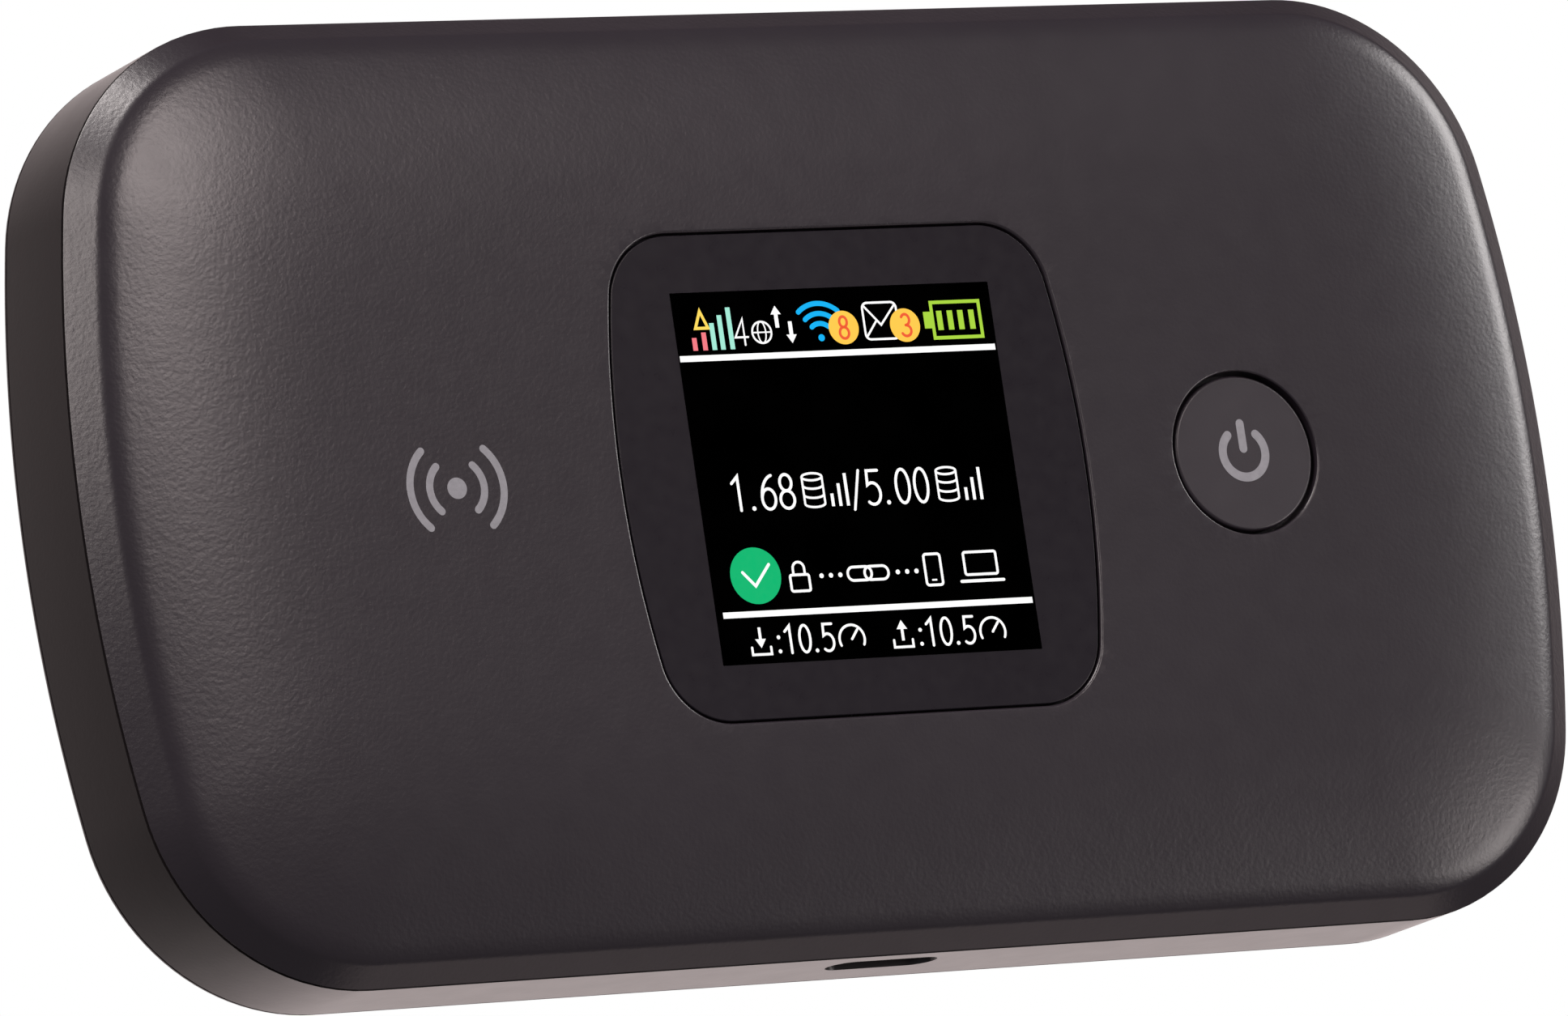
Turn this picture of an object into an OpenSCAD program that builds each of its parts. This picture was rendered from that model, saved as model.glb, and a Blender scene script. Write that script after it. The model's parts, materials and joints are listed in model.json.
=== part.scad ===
// Handheld mobile hotspot, lying on its battery cover with the display up.
// X runs along the long side, Y towards the top of the display, Z out of the display.
// The origin is the middle of the battery cover's outer face.

/* [Body] */
// Width across the bulging ends
body_w = 117.2; // [116:0.2:124]
// Height between the straight long sides
body_h = 67.2; // [66.8:0.2:70]
// Thickness at the crown of the front
body_t = 13.2; // [13.2:0.1:14.4]
// Radius of the bulging ends
end_r = 125; // [115:1:200]
// Radius of the four corners
corner_r = 15.5; // [15:0.5:18]
// Thickness of the side walls
wall_t = 1.5; // [1.3:0.1:1.6]

/* [Front cover] */
// Height of the sloping band round the front
band_rise = 1.5; // [1.2:0.1:1.8]
// Width of the band at the ends
band_end = 1.95; // [1.6:0.05:2.2]
// Width of the band along the long sides
band_side = 1.5; // [1.3:0.05:1.8]
// Width of the steep flank inside the crease
flank_w = 1.5; // [1.2:0.1:2.4]
// Rise of the flank alone
flank_rise = 0.2; // [0.1:0.05:0.3]
// Distance from the crease at which the crown is level
crown_w = 20; // [16:1:20]
// Width of the dark line between the cover and the wall
parting_gap = 0.25; // [0.15:0.05:0.3]

/* [Display] */
// Width of the lens at its middle
lens_w = 37.0; // [35:0.1:38]
// Height of the lens
lens_h = 34.3; // [33:0.1:35]
// Radius of the lens's bulging sides
lens_side_r = 75.8; // [60:1:120]
// Radius of the lens's corners
lens_corner_r = 5; // [4:0.5:6]
// Groove round the lens
lens_gap = 0.15; // [0.1:0.05:0.25]
// Width of the lit area
screen_w = 25.5; // [25:0.1:26]
// Height of the lit area
screen_h = 26.3; // [26:0.1:27]

/* [Power button] */
// Distance of the button from the middle
button_x = 31.65; // [30:0.1:33]
// Radius of the cap
button_r = 5.6; // [5:0.1:6]
// Groove round the cap
button_gap = 0.3; // [0.25:0.05:0.4]
// Travel of the cap
button_travel = 0.3; // [0.2:0.05:0.3]

/* [Battery] */
// Width of the pack
battery_w = 66; // [60:1:66]
// Height of the pack
battery_h = 49; // [44:1:49]
// Thickness of the pack
battery_t = 4.8; // [4:0.1:4.8]

/* [USB port] */
// Width of the opening in the wall
port_w = 8.6; // [8.5:0.1:8.8]
// Height of the opening in the wall
port_h = 3.1; // [2.9:0.1:3.1]

/* [Hidden] */

// Overshoot of a cut past the face it goes through
eps = 0.1;
half_w = body_w / 2;
half_h = body_h / 2;

// Heights of the shells, from the battery cover upwards
back_t = 1.0;
back_edge = 1.2;
seam_gap = 0.15;
rear_z = back_t + seam_gap;
rear_t = 1.0;
band_z = body_t - 3.2;
crease_z = band_z + band_rise;
crown = body_t - crease_z - flank_rise;
wall_top_z = band_z - parting_gap;
lip_z = band_z - 1.1;
lip_t = 0.7;
lip_inset = 0.8;

// The three steps of the front cover's inside: inset from the outline, and height
inner_steps = [[wall_t, band_z + 0.3], [3.0, band_z + 1.2], [7.0, band_z + 1.8]];

// How far short of a tangent point the end of a barrel outline stops
tangent_gap = 0.2;

// Points on each quarter of a lofted outline: the bulging end, then the corner
end_steps = 5;
corner_steps = 12;

// Insets of the dome's rings from the crease
dome_insets = concat([for (i = [1:4]) flank_w * i / 4],
    [for (i = [1:12]) flank_w + (crown_w - flank_w) * pow(i / 12, 1.2)]);

// Board and the port that hangs under it
port_z = band_z - 3.45;
board_t = 0.8;
port_shell_h = 3.2;
port_shell_w = 9.0;
port_shell_t = 0.3;
port_len = 7.35;
board_z = port_z + port_shell_h / 2;
board_top = board_z + board_t;
board_hw = half_w - 12.6;
board_hh = half_h - 3.1;
board_r = 5;

// Lens, its seat and the display module under it
lens_z = body_t - 1.1;
lens_t = 0.95;
adhesive_t = 0.1;
seat_z = lens_z - adhesive_t;
seat_t = 0.8;
seat_rim = 1.4;
window_w = 28.2;
window_h = 29.2;
lcd_w = 31;
lcd_y0 = -19.3;
lcd_y1 = 16.2;
lcd_wall = 0.4;
lcd_floor = 0.2;
lcd_top = seat_z - seat_t - 0.3;
glass_t = 0.8;
flex_w = 12;
flex_t = 0.12;
chip_h = 0.9;

// Power button stack
button_top = body_t - 0.2;
flange_r = button_r + 1.0;
flange_z = board_top + 1.95;
flange_t = 0.6;
icon_r = 2.07;
icon_stroke = 0.65;
icon_t = 0.12;
switch_w = 5.2;
switch_h = 1.1;
plunger_r = 1.05;
plunger_top = board_top + 1.5;
plunger_len = 0.8;

// Battery bay, sunk into the rear housing
battery_z = back_t + 0.3;
battery_y = 2.0;
bay_gap = 0.4;
bay_wall = 1.0;
bay_hw = battery_w / 2 + bay_gap;
bay_hh = battery_h / 2 + bay_gap;
bay_top = battery_z + battery_t + 0.2;
bay_roof = 0.8;

// Battery contact block in the bay's left wall
block_y0 = battery_y - 5;
block_y1 = battery_y + 5;
contact_pitch = 3.0;
contact_z = battery_z + 2.9;
contact_r = 1.6;
contact_len = 1.0;
pocket_hw = 0.7;
pocket_hh = 1.65;
pocket_depth = 1.4;

// SIM socket, card and the window in the bay's roof
sim_x = 18;
socket_w = 12;
socket_y0 = 3;
socket_len = 14;
socket_h = 1.35;
card_w = 8.8;
card_len = 12.3;
card_t = 0.67;
card_y0 = 1.5;
card_travel = 12.4;
card_z = board_z - 1.15;

// Screws and the reset switch
screw_x = 42;
screw_y = 26.5;
screw_r = 0.8;
board_screw_x = 43.6;
board_screw_y = -2;
board_screw_r = 0.6;
reset_pos = [-22, 14];
reset_travel = 0.2;
reset_top = board_z - 0.55;
reset_len = 0.5;

// Antennas at the two ends
carrier_x = half_w - 11.2;
carrier_hh = 20;
carrier_top = board_z - 0.75;
carrier_wall = 1.0;
trace_t = 0.1;
tab_x = board_hw - 3;
tab_y0 = -12;
tab_y1 = -5;

plastic = "#3d393d";
dark_plastic = "#2b282b";
steel = "#b9b9bd";
gold = "#c9a24a";

// ---------- outlines ----------

// Centre distance, corner centre and tangent angle of a barrel outline
function end_centre(hw, sr) = hw - sr;
function corner_centre(hw, hh, sr, cr) =
    end_centre(hw, sr) + sqrt(pow(sr - cr, 2) - pow(hh - cr, 2));
function tangent_angle(hh, sr, cr) = asin((hh - cr) / (sr - cr));

// One quarter of a barrel outline, from the end's middle to the long side
function barrel_quarter(hw, hh, sr, cr) =
    let (xs = end_centre(hw, sr), xc = corner_centre(hw, hh, sr, cr), at = tangent_angle(hh, sr, cr))
    concat(
        [for (i = [0:end_steps]) let (a = at * i / end_steps) [xs + sr * cos(a), sr * sin(a)]],
        [for (i = [1:corner_steps]) let (a = at + (90 - at) * i / corner_steps)
            [xc + cr * cos(a), hh - cr + cr * sin(a)]]);

// The whole outline, counter-clockwise
function barrel_points(hw, hh, sr, cr) =
    let (q = barrel_quarter(hw, hh, sr, cr), n = len(q) - 1)
    concat(q,
        [for (i = [n:-1:1]) [-q[i].x, q[i].y]],
        [for (i = [0:n]) [-q[i].x, -q[i].y]],
        [for (i = [n:-1:1]) [q[i].x, -q[i].y]]);

// The same outline with true arcs. The ends stop short of the corner arcs' tangent points,
// so that the arcs cross there instead of touching.
module barrel(hw, hh, sr, cr) {
    xs = end_centre(hw, sr);
    xc = corner_centre(hw, hh, sr, cr);
    yt = sr * sin(tangent_angle(hh, sr, cr)) - tangent_gap;
    intersection() {
        translate([xs, 0]) circle(sr, $fn = 360);
        translate([-xs, 0]) circle(sr, $fn = 360);
        square([2 * hw + 1, 2 * yt], center = true);
    }
    square([2 * xc, 2 * hh], center = true);
    for (sx = [-1, 1]) {
        for (sy = [-1, 1]) {
            translate([sx * xc, sy * (hh - cr)]) circle(cr, $fn = 96);
        }
    }
}

// The body's outline, moved inwards
module body_outline(inset) {
    barrel(half_w - inset, half_h - inset, end_r - inset, corner_r - inset);
}

// The lens's outline, moved inwards
module lens_outline(inset) {
    barrel(lens_w / 2 - inset, lens_h / 2 - inset, lens_side_r - inset, lens_corner_r - inset);
}

// A rectangle with round corners
module round_rect(w, h, r) {
    square([w - 2 * r, h], center = true);
    square([w, h - 2 * r], center = true);
    for (sx = [-1, 1]) {
        for (sy = [-1, 1]) {
            translate([sx * (w / 2 - r), sy * (h / 2 - r)]) circle(r, $fn = 32);
        }
    }
}

// A slot with round ends
module obround(w, h) {
    square([w - h, h], center = true);
    for (sx = [-1, 1]) {
        translate([sx * (w - h) / 2, 0]) circle(h / 2, $fn = 32);
    }
}

// A block between two corners
module block(low, high) {
    translate(low) cube(high - low);
}

// A slab of a flat shape between two heights
module slab(z0, z1) {
    translate([0, 0, z0]) linear_extrude(z1 - z0) children();
}

// A solid lofted through rings with the same number of points, closed at both ends
module loft(rings) {
    n = len(rings[0]);
    m = len(rings);
    points = [for (ring = rings) for (p = ring) p];
    sides = [for (j = [0:m - 2]) for (i = [0:n - 1]) for (t = [0, 1])
        let (a = j * n + i, b = j * n + (i + 1) % n)
        t == 0 ? [a, a + n, b] : [b, a + n, b + n]];
    polyhedron(points, concat([[for (i = [0:n - 1]) i]], sides,
        [[for (i = [n - 1:-1:0]) (m - 1) * n + i]]));
}

function at_height(outline, z) = [for (p = outline) [p.x, p.y, z]];

// ---------- front cover ----------

crease_hw = half_w - band_end;
crease_hh = half_h - band_side;

// Outline of the dome at an inset from the crease. Its corner radii shrink more slowly than
// the inset grows, so that no ridge forms along the diagonals.
function dome_outline(d) = barrel_points(crease_hw - d, crease_hh - d, end_r - 2 - d,
    corner_r - band_side - 0.6 * d);

// Height of the front at an inset from the crease: the steep flank, and the wide crown
function dome_z(d) = crease_z + flank_rise * (1 - pow(1 - min(d / flank_w, 1), 2))
    + crown * (1 - pow(1 - min(d / crown_w, 1), 3));

module cover_skin() {
    loft(concat(
        [at_height(barrel_points(half_w, half_h, end_r, corner_r), band_z)],
        [at_height(dome_outline(0), crease_z)],
        [for (d = dome_insets) at_height(dome_outline(d), dome_z(d))]));
}

module front_cover() {
    color(plastic) difference() {
        union() {
            difference() {
                cover_skin();
                for (s = inner_steps) {
                    slab(band_z - eps, s[1]) body_outline(s[0]);
                }
            }
            slab(lip_z, band_z + 0.2) difference() {
                body_outline(lip_inset);
                body_outline(lip_inset + lip_t);
            }
            slab(seat_z - seat_t, seat_z) lens_outline(-seat_rim);
            for (sx = [-1, 1]) {
                for (sy = [-1, 1]) {
                    translate([sx * screw_x, sy * screw_y, board_top]) cylinder(2.6, r = 2.0, $fn = 32);
                }
            }
        }
        slab(seat_z, body_t + eps) lens_outline(-lens_gap);
        block([-window_w / 2, -window_h / 2, seat_z - seat_t - eps],
            [window_w / 2, window_h / 2, seat_z + eps]);
        translate([button_x, 0, band_z]) cylinder(body_t, r = button_r + button_gap, $fn = 96);
        for (sx = [-1, 1]) {
            for (sy = [-1, 1]) {
                translate([sx * screw_x, sy * screw_y, board_top - eps])
                    cylinder(1.65 + eps, r = screw_r + 0.02, $fn = 32);
            }
        }
    }
}

// ---------- display ----------

module display_lens() {
    color("#1f1d20") slab(lens_z, lens_z + lens_t) lens_outline(0);
}

module lens_adhesive() {
    color("black") slab(seat_z, lens_z) difference() {
        lens_outline(0.3);
        square([window_w, window_h], center = true);
    }
}

module lcd_frame() {
    color(steel) difference() {
        block([-lcd_w / 2, lcd_y0, board_top], [lcd_w / 2, lcd_y1, lcd_top - 0.4]);
        block([-lcd_w / 2 + lcd_wall, lcd_y0 + lcd_wall, board_top + lcd_floor],
            [lcd_w / 2 - lcd_wall, lcd_y1 - lcd_wall, lcd_top]);
        block([-flex_w / 2 - 0.5, lcd_y0 - eps, board_top + lcd_floor],
            [flex_w / 2 + 0.5, lcd_y0 + lcd_wall + eps, lcd_top]);
    }
}

module lcd_backlight() {
    color("white") block([-lcd_w / 2 + lcd_wall, lcd_y0 + lcd_wall, board_top + lcd_floor],
        [lcd_w / 2 - lcd_wall, lcd_y1 - lcd_wall, lcd_top - glass_t]);
}

module lcd_glass() {
    color("#101014") block([-lcd_w / 2 + 0.9, lcd_y0 + 1.2, lcd_top - glass_t],
        [lcd_w / 2 - 0.9, lcd_y1 - 0.9, lcd_top]);
}

module display_gasket() {
    color("#202020") slab(lcd_top, lcd_top + 0.3) difference() {
        round_rect(window_w + 0.8, window_h + 0.6, 1);
        square([screen_w + 1.2, screen_h + 1.2], center = true);
    }
}

// Strip from the glass, over the frame's low wall and down into its connector
module lcd_flex() {
    z1 = lcd_top - glass_t + 0.02;
    z0 = board_top + 0.32;
    y1 = lcd_y0 + 1.1;
    y0 = lcd_y0 - 1.2;
    color("#b8701c") translate([-flex_w / 2, 0, 0]) {
        block([0, y0, z1], [flex_w, y1, z1 + flex_t]);
        block([0, y0, z0], [flex_w, y0 + flex_t, z1 + flex_t]);
        block([0, y0 - 3, z0], [flex_w, y0 + flex_t, z0 + flex_t]);
    }
}

module lcd_connector() {
    y1 = lcd_y0 - 2.4;
    color("ivory") difference() {
        block([-7.5, y1 - 3, board_top], [7.5, y1, board_top + 1]);
        block([-flex_w / 2 - 0.3, y1 - 2, board_top + 0.25], [flex_w / 2 + 0.3, y1 + eps, board_top + 0.55]);
    }
}

// ---------- power button ----------

// Power symbol: an open ring and a bar
module power_symbol() {
    gap_half = 0.85;
    difference() {
        circle(icon_r, $fn = 64);
        circle(icon_r - icon_stroke, $fn = 64);
        translate([-gap_half, 0]) square([2 * gap_half, icon_r + eps]);
    }
    translate([-icon_stroke / 2, 0]) square([icon_stroke, icon_r + 0.45]);
}

module power_button() {
    chamfer = 0.2;
    color(plastic) translate([button_x, 0, 0]) difference() {
        union() {
            translate([0, 0, flange_z]) cylinder(flange_t, r = flange_r, $fn = 96);
            rotate_extrude($fn = 96) polygon([[0, flange_z + flange_t - eps],
                [button_r, flange_z + flange_t - eps], [button_r, button_top - chamfer],
                [button_r - chamfer, button_top], [0, button_top]]);
        }
        slab(button_top - icon_t, button_top + eps) power_symbol();
    }
}

module power_icon() {
    color("#a9a9ae") translate([button_x, 0, 0]) slab(button_top - icon_t, button_top) power_symbol();
}

module button_pad() {
    color("#555555") translate([button_x, 0, plunger_top])
        cylinder(flange_z - plunger_top, r = 1.6, $fn = 48);
}

module power_switch() {
    color(steel) difference() {
        translate([button_x, 0, 0]) slab(board_top, board_top + switch_h) round_rect(switch_w, switch_w, 0.4);
        translate([button_x, 0, plunger_top - plunger_len - button_travel - 0.15])
            cylinder(switch_h, r = plunger_r + 0.15, $fn = 32);
    }
}

module power_switch_plunger() {
    color("#222222") translate([button_x, 0, plunger_top - plunger_len])
        cylinder(plunger_len, r = plunger_r, $fn = 32);
}

// ---------- main board ----------

module main_board() {
    color("#1d4f33") difference() {
        slab(board_z, board_top) round_rect(2 * board_hw, 2 * board_hh, board_r);
        for (sx = [-1, 1]) {
            for (sy = [-1, 1]) {
                translate([sx * screw_x, sy * screw_y, board_z - eps]) cylinder(1, r = 1.0, $fn = 32);
            }
            translate([sx * board_screw_x, board_screw_y, board_z - eps]) cylinder(1, r = 0.75, $fn = 32);
        }
    }
}

// A chip on the board's upper side
module chip(pos, size) {
    color("#202225") translate([pos.x, pos.y, 0]) slab(board_top, board_top + chip_h)
        square(size, center = true);
}

module baseband_chip() chip([-30, 15], [12, 12]);
module memory_chip() chip([-30, 3], [11, 8]);
module rf_chip() chip([-34, -15], [7, 7]);
module rf_amplifier() chip([-24, -15], [5, 6]);
module wifi_chip() chip([29, -17], [8, 8]);
module power_chip() chip([27, 15], [7, 7]);

module thermal_pad() {
    color("#9aa7b8") translate([-30, 15, 0]) slab(board_top + chip_h, board_top + chip_h + 0.35)
        square([11, 11], center = true);
}

module power_inductors() {
    color("#4a4a4a") for (i = [0:2]) {
        translate([35.5, 10 + 4.6 * i, 0]) slab(board_top, board_top + 1.2) round_rect(4, 3.6, 0.5);
    }
}

module board_capacitors() {
    color("#b59a72") slab(board_top, board_top + 0.55) for (i = [0:6]) {
        for (y = [21.5, 25]) {
            translate([20.5 + 1.9 * i, y]) square([1, 1.8], center = true);
        }
    }
}

// A tinned can over a group of chips, open towards the board
module shield_can(low, high) {
    sheet = 0.2;
    h = 1.45;
    color(steel) difference() {
        block([low.x, low.y, board_top], [high.x, high.y, board_top + h]);
        block([low.x + sheet, low.y + sheet, board_top - eps],
            [high.x - sheet, high.y - sheet, board_top + h - sheet]);
    }
}

module baseband_shield() shield_can([-39.5, -3], [-19, 23.5]);
module rf_shield() shield_can([-39.5, -24.5], [-19, -5]);
module wifi_shield() shield_can([19.5, -24.5], [38.5, -9.5]);

// ---------- USB port ----------

module usb_receptacle() {
    color(steel) translate([0, -half_h + wall_t + 0.05 + port_len, port_z]) rotate([90, 0, 0]) difference() {
        linear_extrude(port_len) obround(port_shell_w, port_shell_h);
        translate([0, 0, 0.9]) linear_extrude(port_len)
            obround(port_shell_w - 2 * port_shell_t, port_shell_h - 2 * port_shell_t);
    }
}

module usb_tongue() {
    y0 = -half_h + wall_t + 0.9;
    y1 = -half_h + wall_t + 0.05 + port_len - 0.9;
    color("#18181a") block([-3.35, y0, port_z - 0.35], [3.35, y1, port_z + 0.35]);
}

// ---------- SIM ----------

module sim_contact_places() {
    for (ix = [-1, 0, 1]) {
        for (iy = [0, 1]) {
            translate([sim_x + ix * 2.54, 6.2 + iy * 4.6]) square([1.1, 2.4], center = true);
        }
    }
}

module sim_socket() {
    slot_w = card_w + 0.4;
    color(steel) difference() {
        block([sim_x - socket_w / 2, socket_y0, board_z - socket_h],
            [sim_x + socket_w / 2, socket_y0 + socket_len, board_z]);
        block([sim_x - slot_w / 2, socket_y0 - eps, card_z - 0.05],
            [sim_x + slot_w / 2, card_y0 + card_len + 1.4, card_z + card_t + 0.1]);
        slab(card_z + card_t, board_z + eps) sim_contact_places();
        block([sim_x - 2.5, socket_y0 - eps, board_z - socket_h - eps], [sim_x + 2.5, socket_y0 + 4, card_z]);
    }
}

module sim_contacts() {
    color(gold) slab(card_z + card_t + 0.05, board_z) sim_contact_places();
}

module sim_card() {
    color("#e4e6ea") slab(card_z, card_z + card_t) difference() {
        translate([sim_x, card_y0 + card_len / 2]) round_rect(card_w, card_len, 1);
        translate([sim_x + card_w / 2, card_y0 + card_len]) rotate(45) square(2.4, center = true);
    }
}

// ---------- battery ----------

module battery_connector() {
    x1 = -bay_hw - 0.2;
    color(dark_plastic) difference() {
        block([x1 - 4.2, block_y0, battery_z + 1.4], [x1, block_y1, board_z]);
        for (i = [-1:1]) {
            block([x1 - pocket_depth, battery_y + i * contact_pitch - pocket_hw, contact_z - pocket_hh],
                [x1 + eps, battery_y + i * contact_pitch + pocket_hw, contact_z + pocket_hh]);
        }
    }
}

// Three leaf springs whose bulge faces the battery's terminals
module battery_contacts() {
    x_tip = -battery_w / 2 - 0.1;
    color(gold) for (i = [-1:1]) {
        translate([x_tip - contact_r, battery_y + i * contact_pitch + contact_len / 2, contact_z])
            rotate([90, 0, 0]) linear_extrude(contact_len) intersection() {
                difference() {
                    circle(contact_r, $fn = 48);
                    circle(contact_r - 0.2, $fn = 48);
                }
                translate([0.4, -contact_r]) square([contact_r, 2 * contact_r]);
            }
    }
}

module battery_pack() {
    color("#33363d") difference() {
        translate([0, battery_y, 0]) slab(battery_z, battery_z + battery_t)
            round_rect(battery_w, battery_h, 2);
        for (i = [-1:1]) {
            translate([0, i * contact_pitch, 0]) battery_pad();
        }
    }
}

module battery_pad() {
    block([-battery_w / 2, battery_y - 0.9, contact_z - 1.6],
        [-battery_w / 2 + 0.12, battery_y + 0.9, contact_z + 1.6]);
}

module battery_terminals() {
    color(gold) for (i = [-1:1]) {
        translate([0, i * contact_pitch, 0]) battery_pad();
    }
}

module battery_label() {
    color("#c9ccd1") translate([0, battery_y, 0]) slab(battery_z - 0.08, battery_z) round_rect(54, 37, 1.5);
}

// ---------- antennas ----------

// Hollow plastic carrier that follows the end of the housing, with a tab under the board
module antenna_carrier(side) {
    color(dark_plastic) mirror([side < 0 ? 1 : 0, 0, 0]) {
        difference() {
            slab(rear_z + rear_t, carrier_top) intersection() {
                body_outline(wall_t + 0.3);
                translate([carrier_x, -carrier_hh]) square([20, 2 * carrier_hh]);
            }
            slab(rear_z, carrier_top - carrier_wall) intersection() {
                body_outline(wall_t + 0.3 + carrier_wall);
                translate([carrier_x + carrier_wall, -carrier_hh + carrier_wall])
                    square([20, 2 * (carrier_hh - carrier_wall)]);
            }
        }
        block([tab_x, tab_y0, carrier_top - 0.8], [carrier_x + eps, tab_y1, carrier_top]);
    }
}

// Copper trace on the carrier: a rail along the end, teeth off it, and the feed on the tab
module antenna_trace(side, teeth) {
    pitch = 30 / teeth;
    color("#b87333") mirror([side < 0 ? 1 : 0, 0, 0]) slab(carrier_top, carrier_top + trace_t) {
        translate([carrier_x + 5.4, -17]) square([1.6, 34]);
        for (i = [0:teeth - 1]) {
            translate([carrier_x + 1.2, -16 + pitch * i]) square([4.4, pitch * 0.45]);
        }
        translate([tab_x + 0.5, tab_y0 + 2]) square([carrier_x + 1.6 - tab_x, 2.4]);
    }
}

module main_antenna_carrier() antenna_carrier(-1);
module diversity_antenna_carrier() antenna_carrier(1);
module main_antenna() antenna_trace(-1, 6);
module diversity_antenna() antenna_trace(1, 4);

// Bent clips soldered under the board, pressing on each feed
module antenna_springs() {
    z0 = carrier_top + trace_t;
    color(gold) for (side = [-1, 1]) {
        mirror([side < 0 ? 1 : 0, 0, 0]) difference() {
            block([tab_x + 0.8, tab_y0 + 2.4, z0], [tab_x + 2.6, tab_y0 + 4, board_z]);
            block([tab_x + 0.95, tab_y0 + 2.3, z0 + 0.15], [tab_x + 2.7, tab_y0 + 4.1, board_z - 0.15]);
        }
    }
}

// Stamped antenna standing on the board's upper edge
module wifi_antenna() {
    y0 = board_hh - 0.5;
    color(gold) {
        block([-10, y0, board_top + 0.6], [10, y0 + 0.2, board_top + 1.6]);
        for (x = [-9, 3]) {
            block([x, y0, board_top], [x + 1.6, y0 + 0.2, board_top + 0.7]);
        }
    }
}

// ---------- housings ----------

module rear_housing() {
    post_h = board_z - rear_z;
    color(plastic) difference() {
        union() {
            difference() {
                slab(rear_z, wall_top_z) body_outline(0);
                slab(rear_z + rear_t, wall_top_z + eps) body_outline(wall_t);
            }
            block([-bay_hw - bay_wall, battery_y - bay_hh - bay_wall, rear_z],
                [bay_hw + bay_wall, battery_y + bay_hh + bay_wall, bay_top + bay_roof]);
            for (sx = [-1, 1]) {
                for (sy = [-1, 1]) {
                    translate([sx * screw_x, sy * screw_y, rear_z]) cylinder(post_h, r = 2.6, $fn = 48);
                }
                translate([sx * board_screw_x, board_screw_y, rear_z]) cylinder(post_h, r = 1.9, $fn = 48);
            }
        }
        slab(lip_z, wall_top_z + eps) body_outline(lip_inset - 0.05);
        block([-bay_hw, battery_y - bay_hh, rear_z - eps], [bay_hw, battery_y + bay_hh, bay_top]);
        block([-bay_hw - bay_wall - eps, block_y0 - 0.15, battery_z + 1.25],
            [-bay_hw + eps, block_y1 + 0.15, bay_top + bay_roof + eps]);
        block([sim_x - socket_w / 2 - 0.5, card_y0 - card_travel - 1.6, bay_top - eps],
            [sim_x + socket_w / 2 + 0.5, socket_y0 + socket_len + 0.5, bay_top + bay_roof + eps]);
        translate([reset_pos.x, reset_pos.y, bay_top - eps]) cylinder(1, r = 1.0, $fn = 32);
        translate([0, -half_h + wall_t + eps, port_z]) rotate([90, 0, 0])
            linear_extrude(wall_t + 2 * eps) obround(port_w, port_h);
        for (sx = [-1, 1]) {
            for (sy = [-1, 1]) {
                translate([sx * screw_x, sy * screw_y, rear_z - eps]) {
                    cylinder(board_z, r = screw_r + 0.15, $fn = 32);
                    cylinder(1.55, r = 1.75, $fn = 32);
                }
            }
            translate([sx * board_screw_x, board_screw_y, board_z - 4])
                cylinder(4 + eps, r = board_screw_r + 0.02, $fn = 32);
        }
        cover_hooks(0.2);
    }
}

// Places of the battery cover's hooks, each with its turn
hook_places = concat(
    [for (sx = [-1, 1]) for (sy = [-1, 1]) [sx * 20, sy * (half_h - 3.1), 0]],
    [for (sx = [-1, 1]) for (sy = [-1, 1]) [sx * (half_w - 3.6), sy * 12, 90]]);

// The hooks, or with a gap the slots that they go through
module cover_hooks(gap) {
    hook_hw = 2.5 + gap;
    hook_ht = 0.45 + gap;
    hook_top = rear_z + rear_t + (gap > 0 ? eps : 0);
    for (p = hook_places) {
        translate([p.x, p.y, 0]) rotate(p.z)
            block([-hook_hw, -hook_ht, back_t - 0.2], [hook_hw, hook_ht, hook_top]);
    }
}

module back_cover() {
    steps = 6;
    nail_r = 3.2;
    color(plastic) difference() {
        union() {
            loft([for (i = [0:steps]) let (a = 90 * i / steps, inset = back_edge * (1 - sin(a)))
                at_height(barrel_points(half_w - inset, half_h - inset, end_r - inset, corner_r - inset),
                    back_t * (1 - cos(a)))]);
            cover_hooks(0);
        }
        translate([half_w + 1.4, 0, back_t - 0.55]) cylinder(1, r = nail_r, $fn = 48);
    }
}

// ---------- screws and reset switch ----------

// A pan head screw standing on its head, with a cross recess
module screw(r, len, head_r, head_h) {
    difference() {
        union() {
            cylinder(head_h, r = head_r, $fn = 48);
            cylinder(head_h + len, r = r, $fn = 32);
        }
        for (a = [0, 90]) {
            rotate(a) block([-head_r * 0.6, -0.2, -eps], [head_r * 0.6, 0.2, head_h * 0.55]);
        }
    }
}

module housing_screws() {
    color(steel) for (sx = [-1, 1]) {
        for (sy = [-1, 1]) {
            translate([sx * screw_x, sy * screw_y, rear_z + 0.45]) screw(screw_r, 7.9, 1.5, 1.0);
        }
    }
}

module board_screws() {
    color(steel) for (sx = [-1, 1]) {
        translate([sx * board_screw_x, board_screw_y, board_top + 0.8]) rotate([180, 0, 0])
            screw(board_screw_r, 4.4, 1.3, 0.8);
    }
}

module reset_switch() {
    color(steel) translate([reset_pos.x, reset_pos.y, 0]) difference() {
        slab(board_z - 0.8, board_z) round_rect(3.4, 3.0, 0.3);
        slab(board_z - 1, reset_top + reset_travel + 0.15) circle(0.72, $fn = 32);
    }
}

module reset_plunger() {
    color("#222222") translate([reset_pos.x, reset_pos.y, reset_top - reset_len])
        cylinder(reset_len, r = 0.6, $fn = 32);
}

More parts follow.
